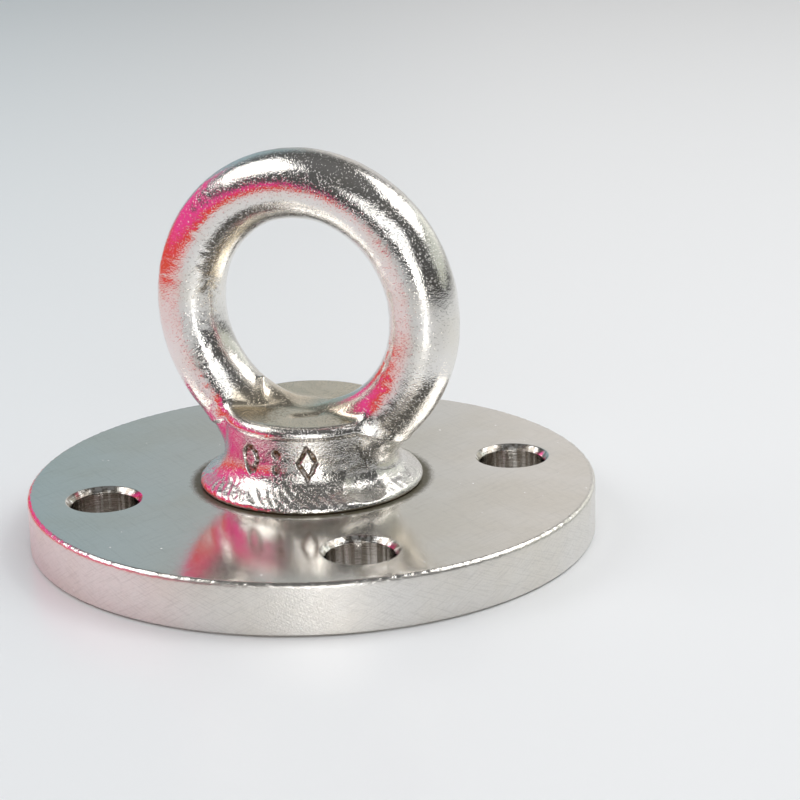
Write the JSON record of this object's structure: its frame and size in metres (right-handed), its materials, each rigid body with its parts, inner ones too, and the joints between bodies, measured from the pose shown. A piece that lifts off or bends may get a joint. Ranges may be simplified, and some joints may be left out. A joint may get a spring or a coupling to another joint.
{
  "type": "magnet fishing magnet",
  "caption": "Round steel pot magnet with chamfered through holes, potted magnets in its underside and a screwed-in forged lifting eye.",
  "frame": {"origin": "centre of the magnetic face, on the eye bolt's axis", "axes": "+Z along the eye bolt's axis towards the eye, +X in the plane of the eye's ring"},
  "size_m": [0.09, 0.09, 0.0613],
  "materials": {
    "pot_steel": "satin nickel plate",
    "forged_steel": "bright nickel plate over a forged skin",
    "magnet_alloy": "nickel plate",
    "epoxy": "satin black epoxy",
    "washer_rubber": "matt"
  },
  "bodies": {
    "pot_body": {"pot": "pot_steel", "ring_potting": "epoxy", "disc_potting_1": "epoxy", "disc_potting_2": "epoxy", "disc_potting_3": "epoxy", "disc_potting_4": "epoxy", "magnet_segment_1": "magnet_alloy", "magnet_segment_2": "magnet_alloy", "magnet_segment_3": "magnet_alloy", "magnet_segment_4": "magnet_alloy", "magnet_segment_5": "magnet_alloy", "magnet_segment_6": "magnet_alloy", "magnet_segment_7": "magnet_alloy", "magnet_segment_8": "magnet_alloy", "disc_magnet_1": "magnet_alloy", "disc_magnet_2": "magnet_alloy", "disc_magnet_3": "magnet_alloy", "disc_magnet_4": "magnet_alloy"},
    "washer_body": {"collar_washer": "washer_rubber"},
    "eye_body": {"eye_bolt": "forged_steel"}
  },
  "joints": [
    {"name": "thread_advance", "type": "slide", "parent": "pot_body", "child": "washer_body", "axis": [0, 0, 1], "range_m": [0, 0.0065]},
    {"name": "eye_unscrew", "type": "hinge", "parent": "washer_body", "child": "eye_body", "pos_m": [0, 0, 0.0082], "axis": [0, 0, 1], "range_deg": [0, 1180]}
  ],
  "couplings": [
    {"joint": "eye_unscrew", "follows": "thread_advance", "rad_per_m": 3141.6}
  ]
}
